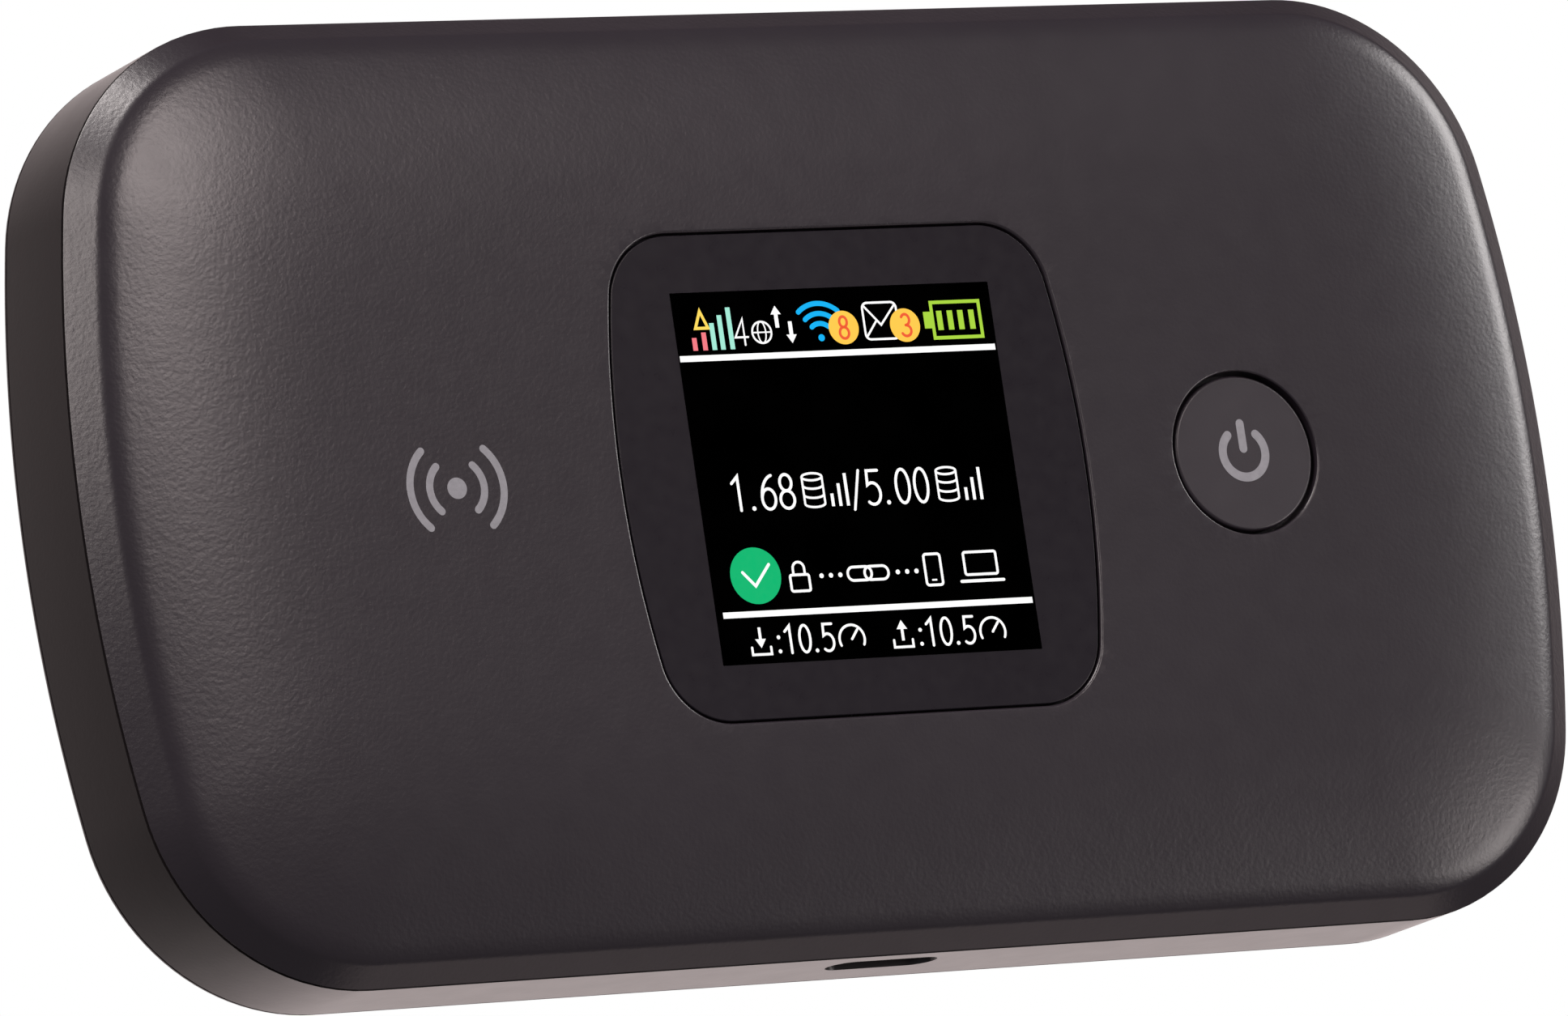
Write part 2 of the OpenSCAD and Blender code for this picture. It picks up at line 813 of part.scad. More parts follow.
front_cover();
display_lens();
lens_adhesive();
display_gasket();
lcd_glass();
lcd_backlight();
lcd_frame();
lcd_flex();
lcd_connector();
power_button();
power_icon();
button_pad();
power_switch();
power_switch_plunger();
main_board();
baseband_chip();
memory_chip();
power_chip();
power_inductors();
rf_chip();
rf_amplifier();
wifi_chip();
board_capacitors();
baseband_shield();
rf_shield();
wifi_shield();
thermal_pad();
usb_receptacle();
usb_tongue();
sim_socket();
sim_contacts();
sim_card();
battery_connector();
battery_contacts();
battery_pack();
battery_terminals();
battery_label();
main_antenna_carrier();
main_antenna();
diversity_antenna_carrier();
diversity_antenna();
wifi_antenna();
antenna_springs();
rear_housing();
back_cover();
housing_screws();
board_screws();
reset_switch();
reset_plunger();
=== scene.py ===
"""A handheld mobile hotspot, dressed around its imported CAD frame, in millimetres unless said."""
import json
import math

import bmesh
import bpy
from mathutils import Matrix, Vector
from mathutils.geometry import delaunay_2d_cdt


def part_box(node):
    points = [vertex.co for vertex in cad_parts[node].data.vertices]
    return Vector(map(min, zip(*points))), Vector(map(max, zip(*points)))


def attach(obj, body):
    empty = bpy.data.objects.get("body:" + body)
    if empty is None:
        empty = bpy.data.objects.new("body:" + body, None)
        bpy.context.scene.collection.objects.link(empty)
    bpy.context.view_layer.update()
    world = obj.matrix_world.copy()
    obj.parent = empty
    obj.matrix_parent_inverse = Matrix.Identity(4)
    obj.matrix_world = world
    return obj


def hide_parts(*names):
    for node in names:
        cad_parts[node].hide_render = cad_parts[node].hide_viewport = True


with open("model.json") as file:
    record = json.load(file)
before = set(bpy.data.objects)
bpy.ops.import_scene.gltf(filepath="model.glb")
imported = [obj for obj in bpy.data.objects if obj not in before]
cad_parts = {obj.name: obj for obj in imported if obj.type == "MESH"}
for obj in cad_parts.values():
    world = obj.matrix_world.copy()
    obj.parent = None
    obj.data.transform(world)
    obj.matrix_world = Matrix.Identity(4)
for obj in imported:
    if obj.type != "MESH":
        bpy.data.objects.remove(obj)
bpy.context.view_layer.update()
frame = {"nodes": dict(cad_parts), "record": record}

MM = 0.001


def box_mm(node):
    """Lowest and highest corner of a CAD node, in millimetres."""
    low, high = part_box(node)
    return low / MM, high / MM


COVER_LOW = box_mm("front_cover")[0]
HOUSING_LOW, HOUSING_HIGH = box_mm("rear_housing")
BACK_HIGH = box_mm("back_cover")[1]
LENS_LOW, LENS_HIGH = box_mm("display_lens")
CAP_LOW, CAP_HIGH = box_mm("power_button")
LABEL_LOW, LABEL_HIGH = box_mm("battery_label")

# The body's outline and the heights of the front cover
HALF_W = HOUSING_HIGH.x
HALF_H = HOUSING_HIGH.y
END_R = 125
CORNER_R = 15.5
WALL_T = 1.5
PARTING_GAP = 0.25
LIP_INSET = 0.8
LIP_Z = COVER_LOW.z
BAND_Z = HOUSING_HIGH.z + PARTING_GAP
BAND_RISE = 1.5
BAND_END = 1.95
BAND_SIDE = 1.5
CREASE_Z = BAND_Z + BAND_RISE
FLANK_W = 1.5
FLANK_RISE = 0.2
CROWN_W = 20
CROWN = 1.5

# How much the end's radius shrinks across the band, and a dome ring's corner radius with its inset
BAND_END_SHRINK = 2
DOME_CORNER_SHRINK = 0.6

# The steps inside the cover, from its wall up to the level ceiling
RABBET_Z = BAND_Z + 0.3
SHELF_Z = BAND_Z + 1.2
SHELF_INSET = 3.0
CEILING_Z = BAND_Z + 1.8
CEILING_INSET = 7.0

# The dome's mesh: the inset at which its rings give way to a grid, and the grid's spacing
GRID_EDGE = 11.0
GRID_STEP = 1.3

# The display's lens, its pocket and the lit area
LENS_SIDE_R = 75.8
LENS_CORNER_R = 5
LENS_FILLET = 0.10
LENS_GAP = 0.15
POCKET_FILLET = 0.20
ADHESIVE_T = 0.1
SEAT_Z = LENS_LOW.z - ADHESIVE_T
SEAT_T = 0.8
SEAT_RIM = 1.4
WINDOW_HALF = (14.1, 14.6)
WINDOW_R = 0.5
SCREEN_LOW = (-12.75, -13.25)
SCREEN_HIGH = (12.75, 13.05)

# Thickness of a printed layer, and of each layer of signs on the display
PRINT_T = 0.012
SIGN_T = 0.004

# The power button, and how far its face lies under the CAD's so that the symbol fits inside the box
BUTTON_X = (CAP_LOW.x + CAP_HIGH.x) / 2
CAP_R = 5.6
CAP_GAP = 0.3
CAP_FILLET = 0.24
FACE_DROP = 0.03
HOLE_R = CAP_R + CAP_GAP
HOLE_FILLET = 0.14
FLANGE_R = (CAP_HIGH.x - CAP_LOW.x) / 2
FLANGE_T = 0.6

# The back cover's plate, its round edge, its thumb notch and its hooks
BACK_T = HOUSING_LOW.z - 0.15
BACK_FILLET = 1.2
NOTCH_X = HALF_W + 1.4
NOTCH_R = 3.2
HOOK_HALF_W = 2.5
HOOK_HALF_T = 0.45

# Points on a quarter of an outline: the bulging end, the corner, the straight side
END_STEPS = 16
CORNER_STEPS = 24
SIDE_STEPS = 12

# Points round a whole circle, steps round a small fillet, and the angle of a sharp edge in degrees
CIRCLE_STEPS = 96
FILLET_STEPS = 5
SHARP_ANGLE = 32


# ---------- outlines ----------

def spread(first, last, steps):
    """Evenly spaced values from first to last."""
    return [first + (last - first) * i / steps for i in range(steps + 1)]


def arc(x, y, radius, start, end, steps):
    """Points on an arc, its angles in degrees."""
    return [(x + radius * math.cos(math.radians(a)), y + radius * math.sin(math.radians(a)))
            for a in spread(start, end, steps)]


def barrel(half_w, half_h, side_r, corner_r):
    """A barrel outline, counter-clockwise from the middle of the +X end."""
    centre_x = half_w - side_r
    turn = math.degrees(math.asin((half_h - corner_r) / (side_r - corner_r)))
    corner_x = centre_x + (side_r - corner_r) * math.cos(math.radians(turn))
    quarter = arc(centre_x, 0, side_r, 0, turn, END_STEPS)
    quarter += arc(corner_x, half_h - corner_r, corner_r, turn, 90, CORNER_STEPS)[1:]
    quarter += [(corner_x * (1 - i / SIDE_STEPS), half_h) for i in range(1, SIDE_STEPS + 1)]
    upper = quarter + [(-x, y) for x, y in reversed(quarter[:-1])]
    return upper + [(x, -y) for x, y in reversed(upper[1:-1])]


def body_outline(inset):
    return barrel(HALF_W - inset, HALF_H - inset, END_R - inset, CORNER_R - inset)


def band_outline(share):
    """Outline of the sloping band, at a share of its width from the outside."""
    return barrel(HALF_W - share * BAND_END, HALF_H - share * BAND_SIDE,
                  END_R - share * BAND_END_SHRINK, CORNER_R - share * BAND_SIDE)


def dome_sizes(inset):
    """Half sizes and radii of a ring of the dome, an inset inside the crease."""
    return (HALF_W - BAND_END - inset, HALF_H - BAND_SIDE - inset, END_R - BAND_END_SHRINK - inset,
            CORNER_R - BAND_SIDE - DOME_CORNER_SHRINK * inset)


def dome_outline(inset):
    return barrel(*dome_sizes(inset))


def lens_outline(inset):
    return barrel(LENS_HIGH.x - inset, LENS_HIGH.y - inset, LENS_SIDE_R - inset, LENS_CORNER_R - inset)


def rounded_rect(low, high, radius, steps=8):
    """A rectangle with round corners, counter-clockwise."""
    points = arc(high[0] - radius, high[1] - radius, radius, 0, 90, steps)
    points += arc(low[0] + radius, high[1] - radius, radius, 90, 180, steps)
    points += arc(low[0] + radius, low[1] + radius, radius, 180, 270, steps)
    return points + arc(high[0] - radius, low[1] + radius, radius, 270, 360, steps)


def circle(x, y, radius, steps=CIRCLE_STEPS):
    return arc(x, y, radius, 0, 360, steps)[:-1]


def in_dome_ring(x, y, inset):
    """Whether a point is inside a ring of the dome."""
    x, y = abs(x), abs(y)
    half_w, half_h, side_r, corner_r = dome_sizes(inset)
    centre_x = half_w - side_r
    if y > half_h or math.hypot(x - centre_x, y) > side_r:
        return False
    rise = half_h - corner_r
    turn = math.asin(rise / (side_r - corner_r))
    corner_x = centre_x + (side_r - corner_r) * math.cos(turn)
    on_end = math.atan2(y, x - centre_x) < turn
    return on_end or x < corner_x or math.hypot(x - corner_x, y - rise) < corner_r


def dome_inset(x, y):
    """Inset of the dome's ring through a point, or the crown's whole width on its level part."""
    low, high = 0, CROWN_W
    if in_dome_ring(x, y, high):
        return high
    halvings = 16
    for _ in range(halvings):
        middle = (low + high) / 2
        if in_dome_ring(x, y, middle):
            low = middle
        else:
            high = middle
    return low


def ring_height(inset):
    """Height of the dome's ring at an inset from the crease: a steep flank and a wide crown."""
    flank = FLANK_RISE * (1 - (1 - min(inset / FLANK_W, 1)) ** 2)
    return CREASE_Z + flank + CROWN * (1 - (1 - min(inset / CROWN_W, 1)) ** 3)


def dome_height(x, y):
    return ring_height(dome_inset(x, y))


def at_height(outline, height):
    """The outline in space, its height a number or a function of x and y."""
    if callable(height):
        return [Vector((x, y, height(x, y))) for x, y in outline]
    return [Vector((x, y, height)) for x, y in outline]


def inside(point, loop):
    """Whether a point is inside a closed loop."""
    x, y = point
    found = False
    for (x0, y0), (x1, y1) in zip(loop, loop[1:] + loop[:1]):
        if (y0 > y) != (y1 > y) and x < (x1 - x0) * (y - y0) / (y1 - y0) + x0:
            found = not found
    return found


# ---------- meshes ----------

def add_loop(bm, points):
    return [bm.verts.new(Vector(p) * MM) for p in points]


def bridge(bm, first, second):
    """Quads between two closed loops with the same number of points."""
    for i in range(len(first)):
        j = (i + 1) % len(first)
        bm.faces.new((first[i], first[j], second[j], second[i]))


def loft(bm, rings, close_start=False, close_end=False):
    """A skin through rings of points, its ends filled where asked."""
    loops = [add_loop(bm, ring) for ring in rings]
    for first, second in zip(loops, loops[1:]):
        bridge(bm, first, second)
    if close_start:
        bm.faces.new(loops[0])
    if close_end:
        bm.faces.new(loops[-1])
    return loops


def fill(bm, outer, holes, height, grid=()):
    """Triangles between an outer loop and its holes, through the points of a grid."""
    points = [Vector(p) for p in outer]
    edges = [(i, (i + 1) % len(outer)) for i in range(len(outer))]
    for hole in holes:
        start = len(points)
        points += [Vector(p) for p in hole]
        edges += [(start + i, start + (i + 1) % len(hole)) for i in range(len(hole))]
    points += [Vector(p) for p in grid]
    found, _, faces = delaunay_2d_cdt(points, edges, [], 0, 1e-6)[:3]
    verts = add_loop(bm, at_height([tuple(p) for p in found], height))
    for face in faces:
        middle = sum((found[i] for i in face), Vector((0, 0))) / len(face)
        if inside(middle, outer) and not any(inside(middle, hole) for hole in holes):
            bm.faces.new([verts[i] for i in face])


def prism(bm, outline, low, high):
    """An upright solid on an outline; its heights are numbers or functions of x and y."""
    loft(bm, [at_height(outline, low), at_height(outline, high)], True, True)


def lathe(bm, profile, x, y):
    """A solid turned about an upright axis, from a profile of radii and heights."""
    loft(bm, [at_height(circle(x, y, radius), z) for radius, z in profile], True, True)


def quarter_round(rising, falling, steps=FILLET_STEPS):
    """Pairs round a quarter turn: one grows from 0 to rising, the other falls from falling to 0."""
    turned = [math.radians(a) for a in spread(0, 90, steps)]
    return [(rising * (1 - math.cos(a)), falling * (1 - math.sin(a))) for a in turned]


def weighted_normals(made):
    """Shades large faces as flat as they are, beside the small faces of a rounded edge."""
    made.modifiers.new("Normals", "WEIGHTED_NORMAL").keep_sharp = True


def piece(bm, name, material, body):
    """Makes an object of a mesh, smooth between its sharp edges, riding on a body."""
    bmesh.ops.remove_doubles(bm, verts=bm.verts, dist=1e-7)
    bmesh.ops.recalc_face_normals(bm, faces=bm.faces)
    mesh = bpy.data.meshes.new(name)
    bm.to_mesh(mesh)
    bm.free()
    mesh.materials.append(material)
    mesh.shade_smooth()
    mesh.set_sharp_from_angle(angle=math.radians(SHARP_ANGLE))
    made = bpy.data.objects.new(name, mesh)
    bpy.context.scene.collection.objects.link(made)
    weighted_normals(made)
    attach(made, body)
    return made


# ---------- materials ----------

def linear(*channels):
    """Scene-linear colour of an sRGB colour from 0 to 255."""
    values = [c / 255 for c in channels]
    return tuple(c / 12.92 if c <= 0.04045 else ((c + 0.055) / 1.055) ** 2.4 for c in values) + (1.0,)


def scaled(color, factor):
    return tuple(c * factor for c in color[:3]) + (1.0,)


class Look:
    """A Principled material and the few nodes that its patterns share."""

    def __init__(self, name, roughness, metallic=0.0, specular=0.5):
        self.material = bpy.data.materials.new(name)
        self.material.use_nodes = True
        self.tree = self.material.node_tree
        self.shader = self.tree.nodes["Principled BSDF"]
        self.put("Roughness", roughness)
        self.put("Metallic", metallic)
        self.put("Specular IOR Level", specular)
        self.where = self.tree.nodes.new("ShaderNodeTexCoord").outputs["Object"]
        self.normal = None

    def put(self, socket, value):
        self.shader.inputs[socket].default_value = value

    def link(self, source, target):
        self.tree.links.new(source, target)

    def stretched(self, stretch):
        """Object coordinates scaled by a factor for each axis."""
        node = self.tree.nodes.new("ShaderNodeMapping")
        node.inputs["Scale"].default_value = stretch
        self.link(self.where, node.inputs["Vector"])
        return node.outputs["Vector"]

    def noise(self, size, detail, stretch=None):
        """A noise whose lumps are about a size in millimetres."""
        node = self.tree.nodes.new("ShaderNodeTexNoise")
        node.inputs["Scale"].default_value = 1 / (size * MM)
        node.inputs["Detail"].default_value = detail
        self.link(self.stretched(stretch) if stretch else self.where, node.inputs["Vector"])
        return node.outputs["Fac"]

    def cells(self, size, feature="F1"):
        """A cell pattern whose cells are about a size in millimetres."""
        node = self.tree.nodes.new("ShaderNodeTexVoronoi")
        node.feature = feature
        node.inputs["Scale"].default_value = 1 / (size * MM)
        self.link(self.where, node.inputs["Vector"])
        return node.outputs["Distance"]

    def ranged(self, factor, low, high, start=0.3, end=0.7):
        """Values from low to high as the factor goes from start to end."""
        node = self.tree.nodes.new("ShaderNodeMapRange")
        node.inputs["From Min"].default_value = start
        node.inputs["From Max"].default_value = end
        node.inputs["To Min"].default_value = low
        node.inputs["To Max"].default_value = high
        self.link(factor, node.inputs["Value"])
        return node.outputs["Result"]

    def color(self, factor, first, second, start=0.3, end=0.7):
        """Base colour between two colours, by a factor."""
        node = self.tree.nodes.new("ShaderNodeMix")
        node.data_type = "RGBA"
        node.inputs["A"].default_value = first
        node.inputs["B"].default_value = second
        self.link(self.ranged(factor, 0, 1, start, end), node.inputs["Factor"])
        sockets = [s for s in node.outputs if s.type == "RGBA"]
        self.link(sockets[0], self.shader.inputs["Base Color"])

    def roughness(self, factor, low, high):
        self.link(self.ranged(factor, low, high), self.shader.inputs["Roughness"])

    def bump(self, factor, depth, strength=1.0):
        """Raises the surface by a factor, depth in millimetres, over any bump before it."""
        node = self.tree.nodes.new("ShaderNodeBump")
        node.inputs["Strength"].default_value = strength
        node.inputs["Distance"].default_value = depth * MM
        self.link(factor, node.inputs["Height"])
        if self.normal:
            self.link(self.normal, node.inputs["Normal"])
        self.normal = node.outputs["Normal"]
        self.link(self.normal, self.shader.inputs["Normal"])


def moulded(name, color, roughness, grain, depth, drift=0.05):
    """Moulded plastic: a spark-eroded grain, fine over coarse, and a slow drift of colour and gloss."""
    look = Look(name, roughness)
    gloss_drift = 0.010
    coarse = 3.3
    look.color(look.noise(14, 3), scaled(color, 1 - drift), scaled(color, 1 + drift))
    look.roughness(look.noise(2.2, 4), roughness - gloss_drift, roughness + gloss_drift)
    look.bump(look.noise(grain, 2), depth)
    look.bump(look.noise(grain * coarse, 1), depth * 0.5)
    return look.material


def metal(name, color, roughness, brush=(1, 14, 14)):
    """Sheet or plated metal with fine rolling lines."""
    look = Look(name, roughness, metallic=1.0)
    gloss_drift = 0.07
    lines = look.noise(0.9, 3, brush)
    look.color(look.noise(2.5, 2), scaled(color, 0.93), color)
    look.roughness(lines, roughness - gloss_drift, roughness + gloss_drift)
    look.bump(lines, 0.004)
    return look.material


def glowing(name, color):
    """A lit part of the display."""
    look = Look(name, 0.4, specular=0.1)
    look.put("Base Color", scaled(color, 0.05))
    look.put("Emission Color", color)
    look.put("Emission Strength", 1)
    look.roughness(look.noise(0.5, 1), 0.35, 0.45)
    return look.material


def lens_plastic():
    """The smoked pane over the display, with the fine matt film of its hard coat."""
    look = Look("lens_plastic", 0.29, specular=0.25)
    look.color(look.noise(9, 2), (0.0082, 0.0062, 0.0094, 1), (0.0094, 0.0074, 0.0108, 1))
    look.roughness(look.noise(1.3, 3), 0.27, 0.31)
    look.bump(look.noise(0.16, 1), 0.0006)
    return look.material


def screen_black():
    look = Look("screen_black", 0.5, specular=0.0)
    look.color(look.noise(4, 1), (0.0, 0.0, 0.0, 1), (0.0003, 0.0003, 0.0003, 1))
    return look.material


def printed_ink():
    look = Look("icon_ink", 0.5, specular=0.3)
    look.color(look.noise(0.4, 2), linear(128, 128, 133), linear(136, 136, 141))
    look.bump(look.noise(0.12, 1), 0.002)
    return look.material


def board_green():
    look = Look("board_mask", 0.32, specular=0.5)
    tracks = look.cells(1.4, "DISTANCE_TO_EDGE")
    look.color(tracks, (0.012, 0.085, 0.035, 1), (0.020, 0.140, 0.055, 1), 0.02, 0.06)
    look.bump(tracks, 0.01, 0.4)
    return look.material


def ceramic():
    look = Look("capacitor_ceramic", 0.5)
    look.color(look.noise(0.3, 3), (0.34, 0.24, 0.14, 1), (0.46, 0.36, 0.24, 1))
    look.bump(look.noise(0.1, 1), 0.003)
    return look.material


def chip_mould():
    look = Look("chip_mould", 0.55, specular=0.4)
    look.color(look.noise(0.12, 3), (0.010, 0.010, 0.011, 1), (0.022, 0.022, 0.024, 1))
    look.bump(look.noise(0.08, 1), 0.003)
    return look.material


def polyimide():
    look = Look("polyimide_film", 0.3, specular=0.6)
    look.color(look.noise(1.2, 2, (6, 0.6, 1)), (0.36, 0.13, 0.02, 1), (0.52, 0.23, 0.05, 1))
    look.bump(look.noise(0.3, 1), 0.003)
    return look.material


def rubbery(name, color, roughness=0.75):
    """Soft or dull stuff with a pebbled surface: rubber, foam, tape, gel and ferrite."""
    look = Look(name, roughness, specular=0.25)
    look.color(look.noise(0.25, 3), scaled(color, 0.8), scaled(color, 1.15))
    look.bump(look.cells(0.22), 0.012, 0.5)
    return look.material


def card_plastic():
    look = Look("card_plastic", 0.42)
    look.color(look.noise(5, 2), (0.74, 0.76, 0.80, 1), (0.80, 0.81, 0.84, 1))
    look.bump(look.noise(0.15, 1), 0.002)
    return look.material


def battery_wrap():
    look = Look("battery_wrap", 0.36, specular=0.45)
    look.color(look.noise(12, 3), (0.040, 0.044, 0.052, 1), (0.056, 0.060, 0.070, 1))
    look.roughness(look.noise(2.2, 3), 0.30, 0.42)
    look.bump(look.noise(6, 2, (1, 0.25, 1)), 0.03, 0.5)
    return look.material


def label_film():
    look = Look("label_film", 0.42, specular=0.4)
    look.color(look.noise(0.2, 3), (0.56, 0.58, 0.61, 1), (0.64, 0.66, 0.69, 1))
    look.bump(look.noise(0.5, 2), 0.003)
    return look.material


def label_print():
    look = Look("label_print", 0.5, specular=0.3)
    look.color(look.noise(0.3, 2), (0.045, 0.05, 0.06, 1), (0.065, 0.07, 0.08, 1))
    return look.material


def screen_glass():
    look = Look("panel_glass", 0.12, specular=0.6)
    look.color(look.noise(2, 1), (0.008, 0.009, 0.012, 1), (0.013, 0.013, 0.017, 1))
    return look.material


BODY_COLOR = (0.0155, 0.0120, 0.0160, 1)
WALL_COLOR = (0.0150, 0.0122, 0.0128, 1)
LOOKS = {
    "cover_plastic": moulded("cover_plastic", BODY_COLOR, 0.30, 0.32, 0.013),
    "button_plastic": moulded("button_plastic", scaled(BODY_COLOR, 1.2), 0.36, 0.22, 0.004),
    "housing_plastic": moulded("housing_plastic", WALL_COLOR, 0.34, 0.30, 0.006),
    "back_plastic": moulded("back_plastic", WALL_COLOR, 0.38, 0.30, 0.010),
    "lens_plastic": lens_plastic(),
    "icon_ink": printed_ink(),
    "adhesive": rubbery("adhesive_tape", (0.02, 0.02, 0.02, 1), 0.6),
    "foam": rubbery("gasket_foam", (0.03, 0.03, 0.03, 1), 0.9),
    "screen_glass": screen_glass(),
    "light_guide": moulded("light_guide", (0.85, 0.85, 0.85, 1), 0.35, 0.4, 0.002, 0.02),
    "tinned_steel": metal("tinned_steel", (0.62, 0.62, 0.63, 1), 0.34),
    "screw_steel": metal("screw_steel", (0.22, 0.22, 0.23, 1), 0.38, (6, 6, 1)),
    "gold": metal("gold_plate", (0.83, 0.60, 0.27, 1), 0.28),
    "copper": metal("copper_trace", (0.72, 0.38, 0.22, 1), 0.33),
    "board": board_green(),
    "chip_plastic": chip_mould(),
    "ferrite": rubbery("ferrite", (0.09, 0.09, 0.09, 1), 0.6),
    "ceramic": ceramic(),
    "flex_film": polyimide(),
    "connector_plastic": moulded("connector_plastic", (0.72, 0.68, 0.56, 1), 0.5, 0.2, 0.004, 0.04),
    "dark_plastic": moulded("dark_plastic", (0.022, 0.021, 0.022, 1), 0.5, 0.2, 0.006),
    "silicone": rubbery("silicone_pad", (0.10, 0.10, 0.10, 1)),
    "thermal_gel": rubbery("thermal_gel", (0.30, 0.35, 0.42, 1), 0.7),
    "card_plastic": card_plastic(),
    "battery_wrap": battery_wrap(),
    "label_film": label_film(),
}


def dress_nodes():
    """Gives every CAD node the material of its slot in the record."""
    for row in frame["record"]["subparts"]:
        node = frame["nodes"][row["node"]]
        node.data.materials.clear()
        node.data.materials.append(LOOKS[row["material_slot"]])


# ---------- front cover ----------

def cover_grid():
    """Points of a grid over the dome, half a step clear of its holes and its edge."""
    clear = GRID_STEP / 2
    edge = dome_outline(GRID_EDGE + clear)
    lens = lens_outline(-LENS_GAP - POCKET_FILLET - clear)
    hole = circle(BUTTON_X, 0, HOLE_R + HOLE_FILLET + clear)
    columns = int(HALF_W / GRID_STEP)
    rows = int(HALF_H / GRID_STEP)
    points = [((i + 0.5 * (j % 2)) * GRID_STEP, j * GRID_STEP) for i in range(-columns, columns + 1)
              for j in range(-rows, rows + 1)]
    return [p for p in points if inside(p, edge) and not inside(p, lens) and not inside(p, hole)]


def curve_between(first, corner, last, steps):
    """Rings that round a corner, between a ring before it and a ring after it."""
    return [[a * (1 - u) ** 2 + b * 2 * u * (1 - u) + c * u * u for a, b, c in zip(first, corner, last)]
            for u in spread(0, 1, steps)]


def cover_rings():
    """Rings from the cover's inside, round its lip and band, and up over the crease."""
    steps = [(CEILING_INSET, CEILING_Z), (CEILING_INSET, SHELF_Z), (SHELF_INSET, SHELF_Z),
             (SHELF_INSET, RABBET_Z), (WALL_T, RABBET_Z), (WALL_T, LIP_Z), (LIP_INSET, LIP_Z),
             (LIP_INSET, BAND_Z)]
    rings = [at_height(body_outline(inset), z) for inset, z in steps]

    def band(share):
        return at_height(band_outline(share), BAND_Z + share * BAND_RISE)

    def dome(inset):
        return at_height(dome_outline(inset), ring_height(inset))

    first_ring = 0.4
    rings += curve_between(at_height(body_outline(0.1), BAND_Z), band(0), band(0.05), 3)
    rings += [band(share) for share in (0.3, 0.6, 0.85)]
    rings += curve_between(band(0.90), band(1), dome(0.22), 5)
    rings += [dome(first_ring + (GRID_EDGE - first_ring) * share ** 1.4) for share in spread(0, 1, 18)]
    return rings


def rim_rings(grown_outline, fillet, bottom):
    """Rings over the round rim of a hole in the dome and down to its bottom.

    grown_outline gives the hole's outline grown by a length.
    """
    rings = []
    for down, out in quarter_round(fillet, fillet):
        rings.append(at_height(grown_outline(out), lambda x, y: dome_height(x, y) - down))
    return rings + [at_height(grown_outline(0), bottom)]


def front_cover():
    bm = bmesh.new()
    loft(bm, cover_rings())
    pocket = rim_rings(lambda out: lens_outline(-LENS_GAP - out), POCKET_FILLET, SEAT_Z)
    hole = rim_rings(lambda out: circle(BUTTON_X, 0, HOLE_R + out), HOLE_FILLET, CEILING_Z)
    loft(bm, pocket)
    loft(bm, hole)

    def flat(ring):
        return [(p.x, p.y) for p in ring]

    fill(bm, dome_outline(GRID_EDGE), [flat(pocket[0]), flat(hole[0])], dome_height, cover_grid())
    window = rounded_rect([-v for v in WINDOW_HALF], WINDOW_HALF, WINDOW_R)
    rim = lens_outline(-SEAT_RIM)
    seat_bottom = SEAT_Z - SEAT_T
    fill(bm, lens_outline(-LENS_GAP), [window], SEAT_Z)
    loft(bm, [at_height(window, SEAT_Z), at_height(window, seat_bottom)])
    fill(bm, rim, [window], seat_bottom)
    loft(bm, [at_height(rim, seat_bottom), at_height(rim, CEILING_Z)])
    fill(bm, body_outline(CEILING_INSET), [rim, circle(BUTTON_X, 0, HOLE_R)], CEILING_Z)
    made = piece(bm, "front_cover_shell", LOOKS["cover_plastic"], "housing")
    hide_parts("front_cover")


# ---------- display ----------

def display_lens():
    bm = bmesh.new()
    rings = [at_height(lens_outline(0), LENS_LOW.z)]
    for inset, down in quarter_round(LENS_FILLET, LENS_FILLET, 4):
        rings.append(at_height(lens_outline(inset), LENS_HIGH.z - down))
    loft(bm, rings, True, True)
    made = piece(bm, "display_lens_pane", LOOKS["lens_plastic"], "housing")
    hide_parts("display_lens")


def screen_window():
    """The dark, flat field behind the signs, printed on the lens."""
    bm = bmesh.new()
    outline = rounded_rect(SCREEN_LOW, SCREEN_HIGH, 0.05, 2)
    prism(bm, outline, LENS_HIGH.z - 0.05, LENS_HIGH.z + PRINT_T)
    piece(bm, "screen_window", screen_black(), "housing")


# The least cosine of half a bend's turn for which a stroke keeps its width
SHARPEST_BEND = 0.35


def ribbon(points, width, closed=False):
    """The left and the right edge of a stroke along points, two loops if it is closed."""
    half = width / 2
    count = len(points)
    left = []
    right = []
    for i, (x, y) in enumerate(points):
        before = points[i - 1] if closed or i > 0 else None
        after = points[(i + 1) % count] if closed or i < count - 1 else None
        ways = []
        for a, b in ((before, (x, y)), ((x, y), after)):
            if a and b:
                ways.append((Vector(b) - Vector(a)).normalized())
        way = sum(ways, Vector((0, 0))).normalized()
        reach = half / max(way.dot(ways[0]), SHARPEST_BEND)
        side = Vector((-way.y, way.x)) * reach
        left.append((x + side.x, y + side.y))
        right.append((x - side.x, y - side.y))
    return left, right


def round_end(centre, edge):
    """Points half way round an end, clockwise from one edge of the stroke."""
    steps = 6
    offset = Vector(edge) - Vector(centre)
    turned = [offset.copy() for _ in range(steps - 1)]
    for i, vector in enumerate(turned):
        vector.rotate(Matrix.Rotation(-math.pi * (i + 1) / steps, 2))
    return [(centre[0] + v.x, centre[1] + v.y) for v in turned]


